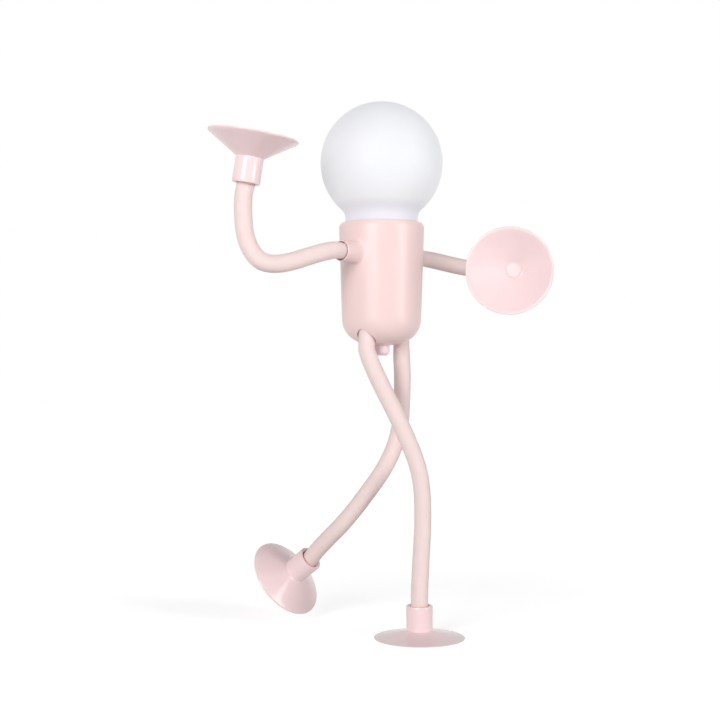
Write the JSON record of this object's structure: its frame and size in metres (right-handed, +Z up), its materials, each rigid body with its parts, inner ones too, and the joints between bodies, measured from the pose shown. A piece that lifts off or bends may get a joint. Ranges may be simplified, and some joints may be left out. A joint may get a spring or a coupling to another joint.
{
  "type": "night light",
  "caption": "Figure-shaped battery night light: a milky globe head twists into a tapered pink body with a push button underneath, on bendable soft limbs ending in suction cups.",
  "frame": {"origin": "The middle of the standing foot's suction face, on the surface that the light stands on.", "axes": "+Z is up along the height of the light; the two shoulders lie along X, the raised arm on -X; -Y is the side that the forward hand reaches to."},
  "size_m": [0.1686, 0.1512, 0.2619],
  "materials": {
    "body_pink": "gloss",
    "button_pink": "satin",
    "globe_white": "satin",
    "sleeve_pink": "matte",
    "cup_pink": "gloss",
    "steel": "satin",
    "contact_brass": "satin",
    "cell_can": "satin",
    "board_green": "satin",
    "led_yellow": "gloss",
    "switch_black": "matte",
    "inner_white": "matte"
  },
  "bodies": {
    "torso": {"torso_shell": "body_pink", "switch_housing": "switch_black", "switch_board": "board_green", "board_screws": "steel", "battery_carrier": "inner_white", "carrier_contacts": "contact_brass", "base_contact": "contact_brass", "contact_ring": "contact_brass", "supply_lead": "contact_brass", "battery_cell_1": "cell_can", "battery_cell_2": "cell_can", "battery_cell_3": "cell_can"},
    "head": {"globe": "globe_white", "lamp_base": "inner_white", "led_board": "board_green", "led_chips": "led_yellow", "led_screws": "steel", "centre_contact": "contact_brass", "ring_contacts": "contact_brass"},
    "button": {"button_cap": "button_pink", "switch_plunger": "switch_black"},
    "raised_arm_root": {"raised_arm_root_sleeve": "sleeve_pink", "raised_arm_root_core": "steel", "raised_arm_ferrule": "contact_brass"},
    "raised_arm_upper": {"raised_arm_upper_sleeve": "sleeve_pink", "raised_arm_upper_core": "steel"},
    "raised_arm_fore": {"raised_arm_fore_sleeve": "sleeve_pink", "raised_arm_fore_core": "steel"},
    "raised_arm_tip": {"raised_arm_tip_sleeve": "sleeve_pink", "raised_arm_cup": "cup_pink"},
    "forward_arm_root": {"forward_arm_root_sleeve": "sleeve_pink", "forward_arm_root_core": "steel", "forward_arm_ferrule": "contact_brass"},
    "forward_arm_upper": {"forward_arm_upper_sleeve": "sleeve_pink", "forward_arm_upper_core": "steel"},
    "forward_arm_fore": {"forward_arm_fore_sleeve": "sleeve_pink", "forward_arm_fore_core": "steel"},
    "forward_arm_tip": {"forward_arm_tip_sleeve": "sleeve_pink", "forward_arm_cup": "cup_pink"},
    "standing_leg_root": {"standing_leg_root_sleeve": "sleeve_pink", "standing_leg_root_core": "steel", "standing_leg_ferrule": "contact_brass"},
    "standing_leg_thigh": {"standing_leg_thigh_sleeve": "sleeve_pink", "standing_leg_thigh_core": "steel"},
    "standing_leg_shin": {"standing_leg_shin_sleeve": "sleeve_pink", "standing_leg_shin_core": "steel"},
    "standing_leg_tip": {"standing_leg_tip_sleeve": "sleeve_pink", "standing_leg_cup": "cup_pink"},
    "lifted_leg_root": {"lifted_leg_root_sleeve": "sleeve_pink", "lifted_leg_root_core": "steel", "lifted_leg_ferrule": "contact_brass"},
    "lifted_leg_thigh": {"lifted_leg_thigh_sleeve": "sleeve_pink", "lifted_leg_thigh_core": "steel"},
    "lifted_leg_shin": {"lifted_leg_shin_sleeve": "sleeve_pink", "lifted_leg_shin_core": "steel"},
    "lifted_leg_tip": {"lifted_leg_tip_sleeve": "sleeve_pink", "lifted_leg_cup": "cup_pink"}
  },
  "joints": [
    {"name": "head_twist", "type": "hinge", "parent": "torso", "child": "head", "pos_m": [-0.0072, 0.0179, 0.2028], "axis": [0, 0, 1], "range_deg": [0, 30]},
    {"name": "button_press", "type": "slide", "parent": "torso", "child": "button", "axis": [0, 0, 1], "range_m": [0, 0.0018], "stiffness_N_per_m": 1000, "springref_m": -0.001},
    {"name": "raised_arm_swivel", "type": "hinge", "parent": "torso", "child": "raised_arm_root", "pos_m": [-0.025, 0.0179, 0.1871], "axis": [-1, 0, 0], "range_deg": [-60, 60]},
    {"name": "raised_arm_shoulder", "type": "hinge", "parent": "raised_arm_root", "child": "raised_arm_upper", "pos_m": [-0.04571, 0.01866, 0.18651], "axis": [0.2244, 0.971, -0.0825], "range_deg": [-40, 22]},
    {"name": "raised_arm_elbow", "type": "hinge", "parent": "raised_arm_upper", "child": "raised_arm_fore", "pos_m": [-0.07483, 0.03164, 0.17906], "axis": [0.5008, 0.862, -0.0781], "range_deg": [-40, 25]},
    {"name": "raised_arm_wrist", "type": "hinge", "parent": "raised_arm_fore", "child": "raised_arm_tip", "pos_m": [-0.08329, 0.03701, 0.20767], "axis": [0.4228, 0.9031, 0.0749], "range_deg": [-40, 40]},
    {"name": "forward_arm_swivel", "type": "hinge", "parent": "torso", "child": "forward_arm_root", "pos_m": [0.0106, 0.0179, 0.1871], "axis": [1, 0, 0], "range_deg": [-40, 40]},
    {"name": "forward_arm_shoulder", "type": "hinge", "parent": "forward_arm_root", "child": "forward_arm_upper", "pos_m": [0.03134, 0.01716, 0.18676], "axis": [-0.0648, 0.1418, -0.9878], "range_deg": [-40, 30]},
    {"name": "forward_arm_elbow", "type": "hinge", "parent": "forward_arm_upper", "child": "forward_arm_fore", "pos_m": [0.06003, -0.00039, 0.18189], "axis": [0.0501, -0.0915, 0.9945], "range_deg": [-18, 40]},
    {"name": "forward_arm_wrist", "type": "hinge", "parent": "forward_arm_fore", "child": "forward_arm_tip", "pos_m": [0.04246, -0.02471, 0.17973], "axis": [0.0397, -0.1662, 0.9853], "range_deg": [-40, 40]},
    {"name": "standing_leg_swivel", "type": "hinge", "parent": "torso", "child": "standing_leg_root", "pos_m": [-0.0208, 0.0162, 0.1532], "axis": [0, 0, -1], "range_deg": [-20, 40]},
    {"name": "standing_leg_hip", "type": "hinge", "parent": "standing_leg_root", "child": "standing_leg_thigh", "pos_m": [-0.02019, 0.01556, 0.13716], "axis": [-0.7869, -0.6166, -0.0242], "range_deg": [-40, 40]},
    {"name": "standing_leg_knee", "type": "hinge", "parent": "standing_leg_thigh", "child": "standing_leg_shin", "pos_m": [-0.00275, -0.00175, 0.08313], "axis": [0.7743, 0.6263, 0.0904], "range_deg": [-40, 40]},
    {"name": "standing_leg_ankle", "type": "hinge", "parent": "standing_leg_shin", "child": "standing_leg_tip", "pos_m": [0, -0.00014, 0.0239], "axis": [0.782, 0.623, 0.0212], "range_deg": [-40, 40]},
    {"name": "lifted_leg_swivel", "type": "hinge", "parent": "torso", "child": "lifted_leg_root", "pos_m": [0.0064, 0.0162, 0.1532], "axis": [0, 0, -1], "range_deg": [-40, 60]},
    {"name": "lifted_leg_hip", "type": "hinge", "parent": "lifted_leg_root", "child": "lifted_leg_thigh", "pos_m": [0.00664, 0.01621, 0.13709], "axis": [0.9641, 0.2505, 0.088], "range_deg": [-18, 40]},
    {"name": "lifted_leg_knee", "type": "hinge", "parent": "lifted_leg_thigh", "child": "lifted_leg_shin", "pos_m": [0.00251, 0.02288, 0.08228], "axis": [0.9199, 0.3312, -0.2101], "range_deg": [-35, 40]},
    {"name": "lifted_leg_ankle", "type": "hinge", "parent": "lifted_leg_shin", "child": "lifted_leg_tip", "pos_m": [-0.00787, 0.05591, 0.03952], "axis": [0.9914, 0.1018, 0.0826], "range_deg": [-40, 40]}
  ]
}
